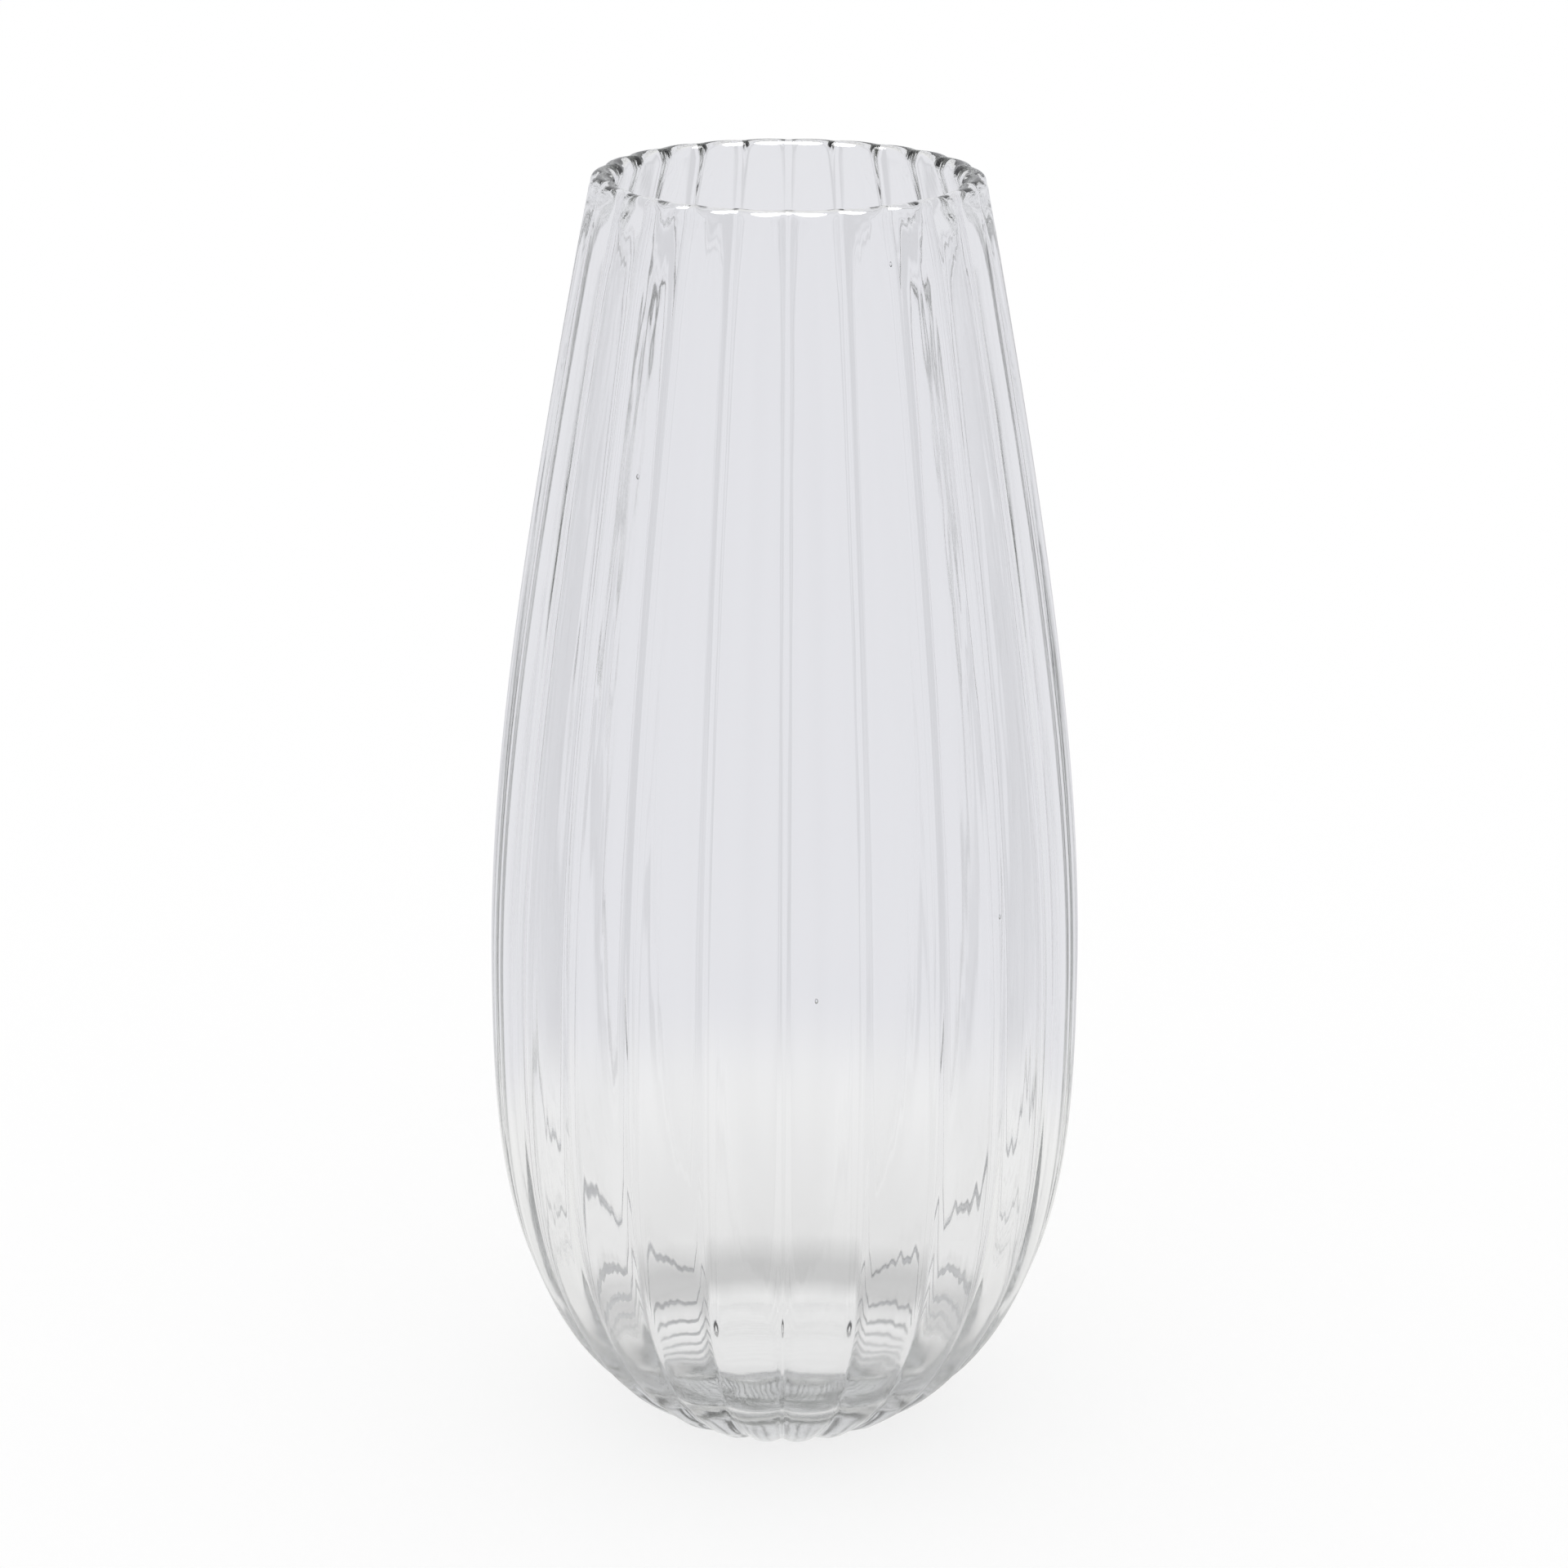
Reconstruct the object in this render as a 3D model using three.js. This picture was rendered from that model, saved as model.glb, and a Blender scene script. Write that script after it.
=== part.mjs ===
import * as THREE from 'three';

// A bud vase of clear glass, blown into a ribbed mould: one piece, round the Z axis, standing on z = 0.
// Driving dimensions, in millimetres.
const height = 150;
const bellyRadius = 34.7; // over the crests of the flutes
const bellyHeight = 55;
const neckRadius = 22.2; // over the crests, where the lip begins to round
const footRadius = 14.2; // where the bowl meets the flat ring that the vase stands on
const wallThickness = 2;
const lipThickness = 2.8;
const lipRun = 8; // how far below the lip the wall starts to thicken
const floorThickness = 7.5;
const puntRadius = 10; // the shallow hollow under the base
const puntDepth = 0.5;

// Flutes: convex lobes with a narrow groove between each two, and a groove on each of the X and Y axes.
const fluteCount = 24;
const footFluteDepth = 0.8;
const bellyFluteDepth = 0.2; // shallower, because blowing the belly out stretches the ribs flat
const lipFluteDepth = 0.6;
const grooveSoftness = 0.2; // 0 is a sharp groove, larger is rounder
const innerShare = 0.45; // how much of the depth the inside of the wall follows

// Shape of the outline: 2 is an ellipse, and a larger power is squarer.
const bowlPower = 3;
const innerBowlPower = 2.55;
const innerFloorPower = 4;
const shoulderRun = 50; // rise over which the belly's curve straightens into the neck

// Steps of the mesh.
const stepsPerFlute = 4;
const puntSteps = 3;
const bowlSteps = 9;
const shoulderSteps = 8;
const lipSteps = 6;
const innerShoulderSteps = 8;
const innerBowlSteps = 9;

const lipRadius = lipThickness / 2;
const shoulderHeight = height - lipRadius - bellyHeight;

// The bowl's curve would close below the table; the foot cuts it where its radius is footRadius.
const footDrop = 1 - (footRadius / bellyRadius) ** 2;
const bowlDepth = bellyHeight / footDrop ** (1 / bowlPower);

function bowlRadius(z) {
  return bellyRadius * Math.sqrt(1 - ((bellyHeight - z) / bowlDepth) ** bowlPower);
}

// A hyperbola: level at the belly, then nearly straight to the neck.
function shoulderRadius(z) {
  const fall = (rise) => Math.hypot(rise, shoulderRun) - shoulderRun;
  return bellyRadius - (bellyRadius - neckRadius) * fall(z - bellyHeight) / fall(shoulderHeight);
}

// The wall thickens just below the lip, on its inside.
function wallAt(z) {
  const share = Math.max(0, 1 - (height - lipRadius - z) / lipRun);
  return THREE.MathUtils.lerp(wallThickness, lipThickness, share ** 2);
}

function innerBowlRadius(z) {
  const share = (bellyHeight - z) / (bellyHeight - floorThickness);
  const reach = Math.max(0, 1 - share ** innerBowlPower);
  return (bellyRadius - wallThickness) * reach ** (1 / innerFloorPower);
}

function fluteDepth(z) {
  const [end, share] = z < bellyHeight
    ? [footFluteDepth, (bellyHeight - z) / bellyHeight]
    : [lipFluteDepth, (z - bellyHeight) / shoulderHeight];
  return THREE.MathUtils.lerp(bellyFluteDepth, end, share ** 2);
}

// Each stretch of the outline is a list of points: radius at a crest, height, and flute depth there.
function stretch(steps, pointAt) {
  return Array.from({ length: steps }, (_, i) => pointAt(i / steps));
}

// Heights crowd towards the start of a bowl, where its curve turns fastest.
const ease = (t) => 1 - Math.cos(t * Math.PI / 2);

const punt = stretch(puntSteps, (t) => ({
  r: puntRadius * t,
  z: puntDepth * (1 - t ** 2) ** 2,
  depth: 0,
}));

const footRing = [{ r: puntRadius, z: 0, depth: 0 }];

const bowl = stretch(bowlSteps, (t) => {
  const z = bellyHeight * ease(t);
  return { r: bowlRadius(z), z, depth: fluteDepth(z) };
});

const shoulder = stretch(shoulderSteps, (t) => {
  const z = bellyHeight + shoulderHeight * t;
  return { r: shoulderRadius(z), z, depth: fluteDepth(z) };
});

const lip = stretch(lipSteps, (t) => ({
  r: neckRadius - lipRadius + lipRadius * Math.cos(Math.PI * t),
  z: height - lipRadius + lipRadius * Math.sin(Math.PI * t),
  depth: lipFluteDepth * THREE.MathUtils.lerp(1, innerShare, t),
}));

const innerShoulder = stretch(innerShoulderSteps, (t) => {
  const z = bellyHeight + shoulderHeight * (1 - t ** 2);
  return { r: shoulderRadius(z) - wallAt(z), z, depth: fluteDepth(z) * innerShare };
});

const innerBowl = stretch(innerBowlSteps, (t) => {
  const z = floorThickness + (bellyHeight - floorThickness) * ease(1 - t);
  return { r: innerBowlRadius(z), z, depth: bellyFluteDepth * innerShare * (1 - t) };
});

const floorCentre = [{ r: 0, z: floorThickness, depth: 0 }];

const outline = [
  ...punt, ...footRing, ...bowl, ...shoulder, ...lip, ...innerShoulder, ...innerBowl, ...floorCentre,
];

// Height of the flute's surface at an angle: 0 in a groove, 1 on a crest.
function fluteForm(angle) {
  const soft = (s) => Math.hypot(s, grooveSoftness) - grooveSoftness;
  return soft(Math.sin(fluteCount * angle / 2)) / soft(1);
}

function makeVaseGeometry() {
  const profile = outline.map(({ r, z }) => new THREE.Vector2(r, z));
  const geometry = new THREE.LatheGeometry(profile, fluteCount * stepsPerFlute);
  geometry.rotateX(Math.PI / 2);

  const position = geometry.attributes.position;
  for (let i = 0; i < position.count; i += 1) {
    const { r, depth } = outline[i % outline.length];
    if (depth > 0) {
      const angle = Math.atan2(position.getY(i), position.getX(i));
      const scale = (r - depth * (1 - fluteForm(angle))) / r;
      position.setXY(i, position.getX(i) * scale, position.getY(i) * scale);
    }
  }
  geometry.computeVertexNormals();
  return geometry;
}

const clearGlass = new THREE.MeshStandardMaterial({
  color: 0xe4e9eb,
  roughness: 0.03,
  metalness: 0,
  transparent: true,
  opacity: 0.35,
});

const glassVase = new THREE.Mesh(makeVaseGeometry(), clearGlass);
glassVase.name = 'glass_vase';

const vase = new THREE.Group();
vase.add(glassVase);

export default vase;
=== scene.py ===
import math

import bmesh
import bpy
from mathutils import Matrix, Vector, noise


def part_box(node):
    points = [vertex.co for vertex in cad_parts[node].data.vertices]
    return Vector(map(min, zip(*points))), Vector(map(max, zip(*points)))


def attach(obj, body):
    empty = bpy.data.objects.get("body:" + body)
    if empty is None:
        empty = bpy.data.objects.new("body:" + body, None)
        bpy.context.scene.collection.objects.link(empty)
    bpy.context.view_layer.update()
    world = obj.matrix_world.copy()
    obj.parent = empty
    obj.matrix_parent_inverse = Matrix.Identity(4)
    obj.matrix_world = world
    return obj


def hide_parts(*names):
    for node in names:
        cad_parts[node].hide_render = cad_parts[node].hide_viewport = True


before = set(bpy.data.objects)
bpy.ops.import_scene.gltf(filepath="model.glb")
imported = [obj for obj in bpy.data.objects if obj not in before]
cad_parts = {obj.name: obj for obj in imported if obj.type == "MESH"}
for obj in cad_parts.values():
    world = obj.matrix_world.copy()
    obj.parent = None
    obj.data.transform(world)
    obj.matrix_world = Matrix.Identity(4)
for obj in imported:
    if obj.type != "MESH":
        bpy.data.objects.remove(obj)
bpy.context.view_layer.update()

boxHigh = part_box("glass_vase")[1]
mm = 0.001

# lengths in metres; height and belly come from the frame
vaseShape = {
    "fluteCount": 24,
    "bellyHeight": 55 * mm,
    "neckRadius": 22.2 * mm,
    "footRadius": 14.2 * mm,
    "footRound": 0.6 * mm,
    "wall": 2 * mm,
    "lip": 2.8 * mm,
    "lipRun": 8 * mm,             # how far below the lip the wall starts to thicken
    "floor": 7.5 * mm,
    "puntRadius": 10 * mm,
    "puntDepth": 0.5 * mm,
    "footLobe": 0.8 * mm,         # how far a lobe swells from its flank, at foot, belly and neck
    "bellyLobe": 0.06 * mm,
    "neckLobe": 0.16 * mm,
    "footLobeFade": 2.2,          # larger keeps the swelling nearer the foot
    "lipLobe": 0.6 * mm,          # the beads of the lip
    "lobeSoftness": 0.2,          # 0 is a sharp dip between lobes, larger is rounder
    "grooveDepth": 0.22 * mm,
    "grooveHalf": 0.6 * mm,
    "innerShare": 0.45,           # how much of a lobe the inside of the wall follows
    "bowlPower": 3,               # 2 is an ellipse, and a larger power is squarer
    "innerBowlPower": 2.55,
    "innerFloorPower": 4,
    "shoulderRun": 50 * mm,
    "seeds": ((-61, 144), (-127, 121), (-84, 65), (-44, 71)),   # degrees round and mm up
    "seedSize": 0.2 * mm,
    "seedStretch": 1.6,
    "ripple": 0.015 * mm,         # long faint streaks drawn up the wall
    "ripplesRound": 11,
    "rippleLength": 150 * mm,
    "streakEase": 8 * mm,         # keeps the streaks from crowding at the middle of the base
    "wrinkle": 0.22 * mm,         # chilled glass round the heel
    "wrinkleSize": (2.3 * mm, 3.4 * mm),
    "wrinkleTop": 28 * mm,
}
vaseSteps = {
    "flute": 16,
    "punt": 8,
    "ring": 5,
    "bowl": 50,
    "shoulder": 26,
    "lip": 12,
    "innerShoulder": 30,
    "innerBowl": 76,
    "floor": 4,
    "grooveCrowding": 0.5,        # how far the steps gather at the grooves,
    "lipCrowding": 1.4,           # under the lip
    "floorCrowding": 1.6,         # and where the bowl turns into the floor
    "hair": 0.001 * mm,           # points nearer than this are one
}
height = boxHigh.z
bellyRadius = boxHigh.x


def mix(a, b, t):
    return a + (b - a) * t


def shoulderHeight():
    return height - vaseShape["lip"] / 2 - vaseShape["bellyHeight"]


def outerRadius(z):
    s = vaseShape
    if z < s["bellyHeight"]:
        # a squarish ellipse, cut off flat where its radius is the foot's
        footDrop = 1 - (s["footRadius"] / bellyRadius) ** 2
        drop = ((s["bellyHeight"] - z) / s["bellyHeight"]) ** s["bowlPower"] * footDrop
        return bellyRadius * math.sqrt(1 - drop)
    # a hyperbola: level at the belly, nearly straight at the neck
    run = s["shoulderRun"]
    fall = math.hypot(z - s["bellyHeight"], run) - run
    wholeFall = math.hypot(shoulderHeight(), run) - run
    return mix(bellyRadius, s["neckRadius"], fall / wholeFall)


def innerRadius(z):
    s = vaseShape
    if z < s["bellyHeight"]:
        share = (s["bellyHeight"] - z) / (s["bellyHeight"] - s["floor"])
        reach = max(0, 1 - share ** s["innerBowlPower"])
        return (bellyRadius - s["wall"]) * reach ** (1 / s["innerFloorPower"])
    return outerRadius(z) - mix(s["wall"], s["lip"], nearLip(z))


def nearLip(z):
    return max(0, 1 - (height - vaseShape["lip"] / 2 - z) / vaseShape["lipRun"]) ** 2


def lobeDepth(z):
    s = vaseShape
    if z < s["bellyHeight"]:
        return mix(s["bellyLobe"], s["footLobe"], (1 - z / s["bellyHeight"]) ** s["footLobeFade"])
    wall = mix(s["bellyLobe"], s["neckLobe"], (z - s["bellyHeight"]) / shoulderHeight())
    return mix(wall, s["lipLobe"], nearLip(z))


def lobeDip(angle):
    # 0 on a crest, 1 in the middle of a groove
    soft = vaseShape["lobeSoftness"]
    rise = math.hypot(math.sin(vaseShape["fluteCount"] * angle / 2), soft) - soft
    return 1 - rise / (math.hypot(1, soft) - soft)


def grooveDip(angle, r):
    s = vaseShape
    turns = s["fluteCount"] * angle / math.tau
    aside = abs(turns - round(turns)) * math.tau / s["fluteCount"] * r
    return math.exp(-(aside / s["grooveHalf"]) ** 2)


def ripple(x, y, z):
    s = vaseShape
    around = Vector((x, y, s["streakEase"])).normalized() * s["ripplesRound"]
    moved = s["ripple"] * noise.noise(around + Vector((0, 0, z / s["rippleLength"])))
    chill = max(0, 1 - z / s["wrinkleTop"]) ** 2
    across, along = s["wrinkleSize"]
    return moved + s["wrinkle"] * chill * noise.noise(Vector((x / across, y / across, z / along)))


def shares(stretch):
    count = vaseSteps[stretch]
    return [i / count for i in range(count)]


def vaseOutline():
    # radius at a crest, height, lobe depth and groove depth, from the punt's middle round to the floor's
    s = vaseShape
    points = []
    for t in shares("punt"):
        points.append((s["puntRadius"] * t, s["puntDepth"] * (1 - t ** 2) ** 2, 0, 0))
    for t in shares("ring"):
        r = mix(s["puntRadius"], s["footRadius"] - s["footRound"], t)
        points.append((r, 0, s["footLobe"] * t, s["grooveDepth"] * t))
    for t in shares("bowl"):
        z = s["bellyHeight"] * (1 - math.cos(math.pi / 2 * t))
        r = outerRadius(z) - s["footRound"] * max(0, 1 - z / s["footRound"]) ** 2
        points.append((r, z, lobeDepth(z), s["grooveDepth"]))
    for t in shares("shoulder"):
        z = s["bellyHeight"] + shoulderHeight() * t
        points.append((outerRadius(z), z, lobeDepth(z), s["grooveDepth"]))
    lip = s["lip"] / 2
    for t in shares("lip"):
        r = s["neckRadius"] - lip + lip * math.cos(math.pi * t)
        z = height - lip + lip * math.sin(math.pi * t)
        points.append((r, z, s["lipLobe"] * mix(1, s["innerShare"], t), s["grooveDepth"] * (1 - t)))
    for t in shares("innerShoulder"):
        z = s["bellyHeight"] + shoulderHeight() * (1 - t ** vaseSteps["lipCrowding"])
        points.append((innerRadius(z), z, lobeDepth(z) * s["innerShare"], 0))
    for t in shares("innerBowl"):
        drop = (1 - math.cos(math.pi / 2 * (1 - t))) ** vaseSteps["floorCrowding"]
        z = mix(s["floor"], s["bellyHeight"], drop)
        points.append((innerRadius(z), z, s["bellyLobe"] * s["innerShare"] * (1 - t), 0))
    for t in shares("floor"):
        points.append((innerRadius(s["floor"] + vaseSteps["hair"]) * (1 - t), s["floor"], 0, 0))
    points.append((0, s["floor"], 0, 0))
    return points


def makeVase():
    s = vaseShape
    bm = bmesh.new()
    lobeLayer = bm.verts.layers.float.new("lobeDepth")
    grooveLayer = bm.verts.layers.float.new("grooveDepth")
    outline = vaseOutline()
    verts = []
    for r, z, lobe, groove in outline:
        vert = bm.verts.new((r, 0, z))
        vert[lobeLayer] = lobe
        vert[grooveLayer] = groove
        verts.append(vert)
    edges = [bm.edges.new(pair) for pair in zip(verts, verts[1:])]
    bmesh.ops.spin(bm, geom=verts + edges, cent=(0, 0, 0), axis=(0, 0, 1), angle=math.tau,
                   steps=s["fluteCount"] * vaseSteps["flute"], use_merge=True, use_duplicate=False)
    bmesh.ops.remove_doubles(bm, verts=bm.verts, dist=vaseSteps["hair"])
    bmesh.ops.recalc_face_normals(bm, faces=bm.faces)
    for vert in bm.verts:
        r = math.hypot(vert.co.x, vert.co.y)
        if r < vaseSteps["hair"]:
            continue
        angle = math.atan2(vert.co.y, vert.co.x)
        angle -= vaseSteps["grooveCrowding"] * math.sin(s["fluteCount"] * angle) / s["fluteCount"]
        newR = r - vert[lobeLayer] * lobeDip(angle) - vert[grooveLayer] * grooveDip(angle, r)
        newR += ripple(r * math.cos(angle), r * math.sin(angle), vert.co.z)
        vert.co.x = newR * math.cos(angle)
        vert.co.y = newR * math.sin(angle)
    # seeds: tiny bubbles in the middle of the wall, so their faces look inwards
    for degrees, up in s["seeds"]:
        r = outerRadius(up * mm) - s["wall"] / 2
        place = Matrix.Rotation(math.radians(degrees), 4, "Z") @ Matrix.Translation((r, 0, up * mm))
        stretched = place @ Matrix.Diagonal((1, 1, s["seedStretch"], 1))
        seed = bmesh.ops.create_icosphere(bm, subdivisions=2, radius=s["seedSize"], matrix=stretched)
        bmesh.ops.reverse_faces(bm, faces=list({face for vert in seed["verts"] for face in vert.link_faces}))
    mesh = bpy.data.meshes.new("vase")
    bm.to_mesh(mesh)
    bm.free()
    for face in mesh.polygons:
        face.use_smooth = True
    vase = bpy.data.objects.new("vase", mesh)
    bpy.context.scene.collection.objects.link(vase)
    return vase


clearGlass = {
    "tint": (0.99, 0.99, 0.995),
    "bend": 1.52,                    # index of refraction
    "hazeScale": 45,
    "hazeRange": (0.35, 0.7),
    "hazeRoughness": (0.01, 0.05),
    "heelRoughness": 0.13,
    "heelTop": 24 * mm,
    "drawnLines": 24,                # how finely the lines divide the turn
    "drawnLean": 0.02,               # how much they change up the wall
    "drawnDepth": 0.014 * mm,
    "absorbed": (0.8, 0.815, 0.785),
    "absorbDensity": 14,
}


def makeGlass():
    g = clearGlass
    material = bpy.data.materials.new("clearGlass")
    material.use_nodes = True
    nodes, links = material.node_tree.nodes, material.node_tree.links
    shader = nodes["Principled BSDF"]
    shader.inputs["Base Color"].default_value = (*g["tint"], 1)
    shader.inputs["IOR"].default_value = g["bend"]
    shader.inputs["Transmission Weight"].default_value = 1
    coords = nodes.new("ShaderNodeTexCoord")
    # a faint haze that comes and goes over the surface
    haze = nodes.new("ShaderNodeTexNoise")
    haze.inputs["Scale"].default_value = g["hazeScale"]
    haze.inputs["Detail"].default_value = 3
    links.new(coords.outputs["Object"], haze.inputs["Vector"])
    rough = nodes.new("ShaderNodeMapRange")
    rough.inputs["From Min"].default_value, rough.inputs["From Max"].default_value = g["hazeRange"]
    rough.inputs["To Min"].default_value, rough.inputs["To Max"].default_value = g["hazeRoughness"]
    links.new(haze.outputs["Fac"], rough.inputs["Value"])
    # the heel is chilled and wrinkled by the mould, and blurs what is seen through it
    split = nodes.new("ShaderNodeSeparateXYZ")
    links.new(coords.outputs["Object"], split.inputs[0])
    heel = nodes.new("ShaderNodeMapRange")
    heel.inputs["From Max"].default_value = g["heelTop"]
    heel.inputs["To Min"].default_value = g["heelRoughness"]
    heel.inputs["To Max"].default_value = 0
    links.new(split.outputs["Z"], heel.inputs["Value"])
    both = nodes.new("ShaderNodeMath")
    links.new(rough.outputs["Result"], both.inputs[0])
    links.new(heel.outputs["Result"], both.inputs[1])
    links.new(both.outputs[0], shader.inputs["Roughness"])
    # fine lines drawn up the wall as the glass was blown
    drawn = nodes.new("ShaderNodeMapping")
    drawn.inputs["Location"].default_value = (0, 0, vaseShape["streakEase"])
    drawn.inputs["Scale"].default_value = (1, 1, g["drawnLean"])
    links.new(coords.outputs["Object"], drawn.inputs["Vector"])
    around = nodes.new("ShaderNodeVectorMath")
    around.operation = "NORMALIZE"
    links.new(drawn.outputs["Vector"], around.inputs[0])
    lines = nodes.new("ShaderNodeTexNoise")
    lines.inputs["Scale"].default_value = g["drawnLines"]
    lines.inputs["Detail"].default_value = 1
    links.new(around.outputs["Vector"], lines.inputs["Vector"])
    bump = nodes.new("ShaderNodeBump")
    bump.inputs["Strength"].default_value = 1
    bump.inputs["Distance"].default_value = g["drawnDepth"]
    links.new(lines.outputs["Fac"], bump.inputs["Height"])
    links.new(bump.outputs["Normal"], shader.inputs["Normal"])
    absorb = nodes.new("ShaderNodeVolumeAbsorption")
    absorb.inputs["Color"].default_value = (*g["absorbed"], 1)
    absorb.inputs["Density"].default_value = g["absorbDensity"]
    links.new(absorb.outputs["Volume"], nodes["Material Output"].inputs["Volume"])
    return material


vase = makeVase()
vase.data.materials.append(makeGlass())
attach(vase, "root")
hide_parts("glass_vase")
print("vase made:", len(vase.data.polygons), "faces")


studio = {
    "floorRadius": 6,
    "floorGap": 0.1 * mm,           # a hair of air under the foot, as on a real table
    "floorGlow": 0.75,
    "tableEdge": (0.075, 0.135),    # where the table gives way to the backdrop, seen through glass
    "tableReach": 0.1,              # the tones, with their painted shadow ring, run out from the middle to here
    # seen through the glass the table is darker in a ring round the foot, darkest 20 to 25 mm out: a painted
    # contact shadow of the vase
    "paintedShadowRingTones": ((0, 0.9), (0.15, 0.88), (0.2, 0.58), (0.25, 0.58), (0.34, 0.82), (0.6, 0.86), (1, 0.92)),
    "causticStrength": 0.03,        # light thrown out across the table by the flutes
    "tableTint": (0.97, 0.97, 0.96),
    "backdrop": (0.835, 0.838, 0.868),
    "lampSize": 0.5,
    "lampHeight": 0.75,
    "lampPower": 6,
    "lampDepth": 2.5,               # a ray that has met more surfaces than this misses the lamp
    "panelTurns": 8,
    "panelTones": ((0, 0.95), (0.1, 0.95), (0.3, 0.8), (0.42, 0.8), (0.65, 0.95), (1, 0.95)),
    "rayTurns": 24,
}


def mathNode(tree, kind, *values):
    node = tree.nodes.new("ShaderNodeMath")
    node.operation = kind
    for slot, value in zip(node.inputs, values):
        if isinstance(value, bpy.types.NodeSocket):
            tree.links.new(value, slot)
        else:
            slot.default_value = value
    return node.outputs[0]


def mixShader(tree, factor, first, second):
    node = tree.nodes.new("ShaderNodeMixShader")
    tree.links.new(factor, node.inputs[0])
    tree.links.new(first, node.inputs[1])
    tree.links.new(second, node.inputs[2])
    return node.outputs[0]


def toneRamp(tree, stops):
    node = tree.nodes.new("ShaderNodeValToRGB")
    for place, tone in stops[1:-1]:
        node.color_ramp.elements.new(place)
    for element, (place, tone) in zip(node.color_ramp.elements, stops):
        element.position = place
        element.color = (tone, tone, tone, 1)
    return node


def bentRay(tree):
    # 1 for a ray that comes out of the glass, 0 for one straight from the camera or off the table
    path = tree.nodes.new("ShaderNodeLightPath")
    bent = mathNode(tree, "MAXIMUM", path.outputs["Is Transmission Ray"], path.outputs["Is Glossy Ray"])
    return mathNode(tree, "MULTIPLY", bent, mathNode(tree, "LESS_THAN", path.outputs["Diffuse Depth"], 0.5))


def makeFloor():
    bm = bmesh.new()
    bmesh.ops.create_circle(bm, cap_ends=True, segments=96, radius=studio["floorRadius"])
    bmesh.ops.translate(bm, verts=bm.verts, vec=(0, 0, -studio["floorGap"]))
    mesh = bpy.data.meshes.new("floor")
    bm.to_mesh(mesh)
    bm.free()
    material = bpy.data.materials.new("palePaper")
    material.use_nodes = True
    tree = material.node_tree
    shader = tree.nodes["Principled BSDF"]
    white = 1 - studio["floorGlow"]
    shader.inputs["Base Color"].default_value = (white, white, white, 1)
    shader.inputs["Roughness"].default_value = 1
    shader.inputs["Specular IOR Level"].default_value = 0
    shader.inputs["Emission Color"].default_value = (1, 1, 1, 1)
    shader.inputs["Emission Strength"].default_value = studio["floorGlow"]
    # seen through the glass, the table fades out and the backdrop shows past it
    coords = tree.nodes.new("ShaderNodeTexCoord")
    reach = tree.nodes.new("ShaderNodeVectorMath")
    reach.operation = "LENGTH"
    tree.links.new(coords.outputs["Object"], reach.inputs[0])
    fade = tree.nodes.new("ShaderNodeMapRange")
    fade.interpolation_type = "SMOOTHERSTEP"
    fade.inputs["From Min"].default_value = studio["tableEdge"][0]
    fade.inputs["From Max"].default_value = studio["tableEdge"][1]
    tree.links.new(reach.outputs["Value"], fade.inputs["Value"])
    # painted shade: the tones darken a ring of the table round the foot as the vase's contact shadow
    tones = toneRamp(tree, studio["paintedShadowRingTones"])
    tree.links.new(mathNode(tree, "DIVIDE", reach.outputs["Value"], studio["tableReach"]), tones.inputs[0])
    tint = tree.nodes.new("ShaderNodeMix")
    tint.data_type = "RGBA"
    tint.blend_type = "MULTIPLY"
    tint.inputs["Factor"].default_value = 1
    tint.inputs[6].default_value = (*studio["tableTint"], 1)
    tree.links.new(tones.outputs["Color"], tint.inputs[7])
    split = tree.nodes.new("ShaderNodeSeparateXYZ")
    tree.links.new(coords.outputs["Object"], split.inputs[0])
    turn = mathNode(tree, "ARCTAN2", split.outputs["Y"], split.outputs["X"])
    rays = mathNode(tree, "COSINE", mathNode(tree, "MULTIPLY", turn, vaseShape["fluteCount"]))
    rays = mathNode(tree, "MULTIPLY_ADD", rays, studio["causticStrength"], 1)
    # painted light: seen through the glass the table glows instead of being lit, with its painted shadow
    # ring and painted caustic rays
    glow = tree.nodes.new("ShaderNodeEmission")
    tree.links.new(tint.outputs[2], glow.inputs["Color"])
    tree.links.new(rays, glow.inputs["Strength"])
    clear = tree.nodes.new("ShaderNodeBsdfTransparent")
    past = mixShader(tree, fade.outputs["Result"], glow.outputs[0], clear.outputs[0])
    seen = mixShader(tree, bentRay(tree), shader.outputs[0], past)
    tree.links.new(seen, tree.nodes["Material Output"].inputs["Surface"])
    mesh.materials.append(material)
    floor = bpy.data.objects.new("floor", mesh)
    bpy.context.scene.collection.objects.link(floor)
    return floor


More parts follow.
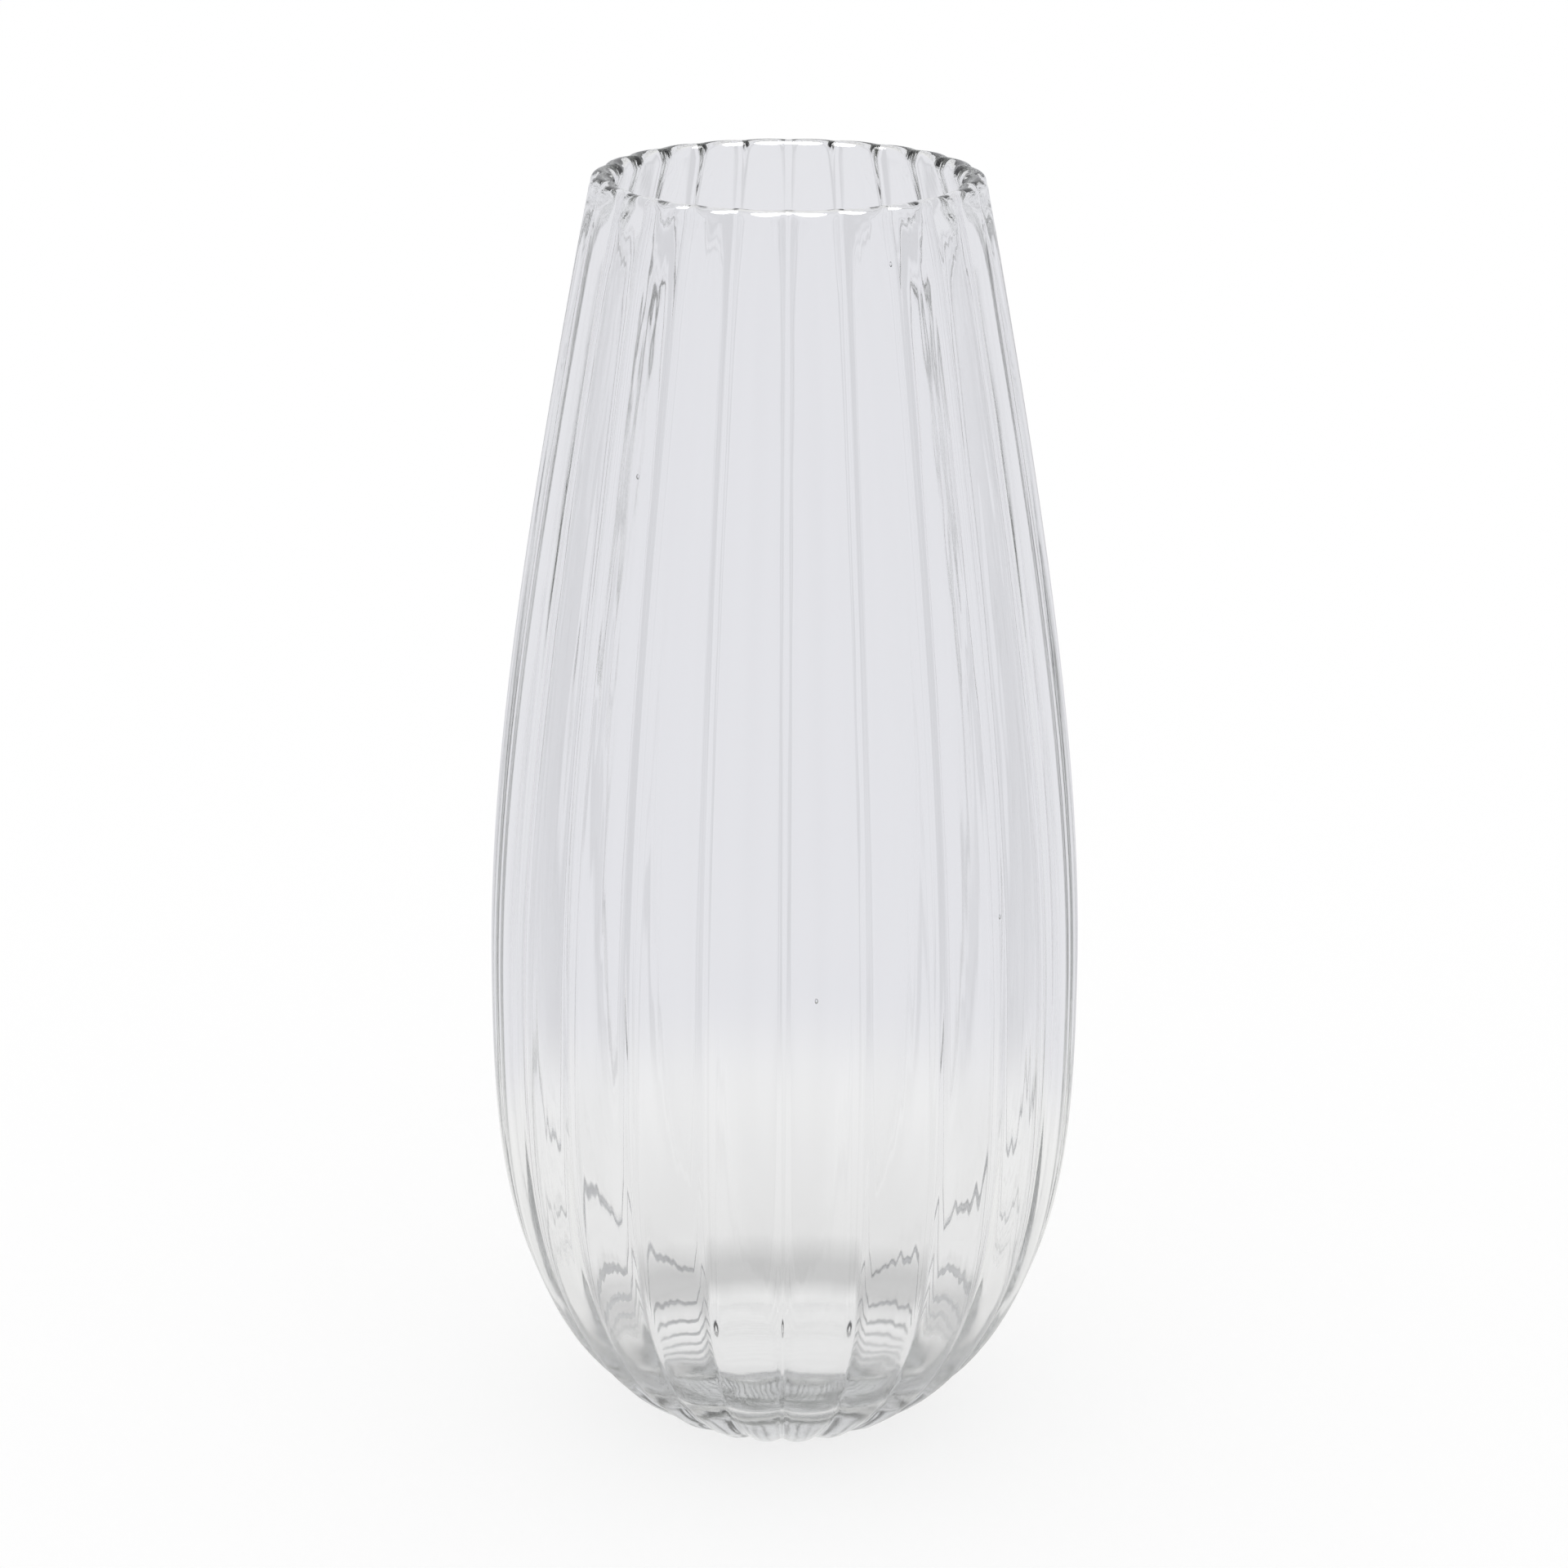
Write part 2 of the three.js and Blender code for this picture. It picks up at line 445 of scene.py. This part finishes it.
def makeWorld():
    # a ring of soft panels with darker gaps, alike from every side
    world = bpy.data.worlds.new("studio")
    bpy.context.scene.world = world
    world.use_nodes = True
    tree = world.node_tree
    nodes, links = tree.nodes, tree.links
    back = nodes["Background"]
    coords = nodes.new("ShaderNodeTexCoord")
    split = nodes.new("ShaderNodeSeparateXYZ")
    links.new(coords.outputs["Generated"], split.inputs[0])
    turn = mathNode(tree, "ARCTAN2", split.outputs["X"], split.outputs["Y"])
    wave = mathNode(tree, "COSINE", mathNode(tree, "MULTIPLY", turn, studio["panelTurns"]))
    wave = mathNode(tree, "MULTIPLY_ADD", wave, 0.5, 0.5)
    tones = toneRamp(tree, studio["panelTones"])
    links.new(wave, tones.inputs[0])
    tint = nodes.new("ShaderNodeMix")
    tint.data_type = "RGBA"
    tint.blend_type = "MULTIPLY"
    tint.inputs["Factor"].default_value = 1
    tint.inputs[6].default_value = (*studio["backdrop"], 1)
    links.new(tones.outputs["Color"], tint.inputs[7])
    pick = nodes.new("ShaderNodeMix")
    pick.data_type = "RGBA"
    pick.inputs[6].default_value = (1, 1, 1, 1)
    links.new(bentRay(tree), pick.inputs["Factor"])
    links.new(tint.outputs[2], pick.inputs[7])
    links.new(pick.outputs[2], back.inputs["Color"])


def makeLamp():
    # a softbox overhead that shows only in the glass's first surfaces, for the shine along the lip
    data = bpy.data.lights.new("softbox", "AREA")
    data.shape = "DISK"
    data.size = studio["lampSize"]
    data.energy = studio["lampPower"]
    data.use_nodes = True
    glow = data.node_tree.nodes["Emission"]
    path = data.node_tree.nodes.new("ShaderNodeLightPath")
    first = mathNode(data.node_tree, "LESS_THAN", path.outputs["Ray Depth"], studio["lampDepth"])
    data.node_tree.links.new(first, glow.inputs["Strength"])
    lamp = bpy.data.objects.new("softbox", data)
    lamp.location = (0, 0, studio["lampHeight"])
    lamp.visible_camera = False
    lamp.visible_diffuse = False
    lamp.visible_transmission = False
    bpy.context.scene.collection.objects.link(lamp)


# metres, degrees, and the lens in millimetres
view = {"distance": 0.445, "rise": 0.086, "pitch": 19.5, "roll": 0.28, "aim": -0.02, "lens": 93.15}


def makeCamera():
    data = bpy.data.cameras.new("camera")
    camera = bpy.data.objects.new("camera", data)
    bpy.context.scene.collection.objects.link(camera)
    bpy.context.scene.camera = camera
    data.sensor_width = 36
    data.lens = view["lens"]
    data.clip_start = 0.01
    camera.location = (0, -view["distance"], height + view["rise"])
    pitch = math.radians(view["pitch"])
    aim = math.radians(view["aim"])
    ahead = Vector((math.sin(aim), math.cos(pitch), -math.sin(pitch)))
    turn = ahead.to_track_quat("-Z", "Y").to_matrix()
    camera.rotation_euler = (turn @ Matrix.Rotation(math.radians(view["roll"]), 3, "Z")).to_euler()


makeFloor()
makeWorld()
makeLamp()
makeCamera()
bpy.context.scene.view_settings.view_transform = "Standard"
bpy.context.scene.cycles.max_bounces = studio["rayTurns"]
bpy.context.scene.cycles.transmission_bounces = studio["rayTurns"]
bpy.context.scene.cycles.glossy_bounces = studio["rayTurns"]
print("stage made")
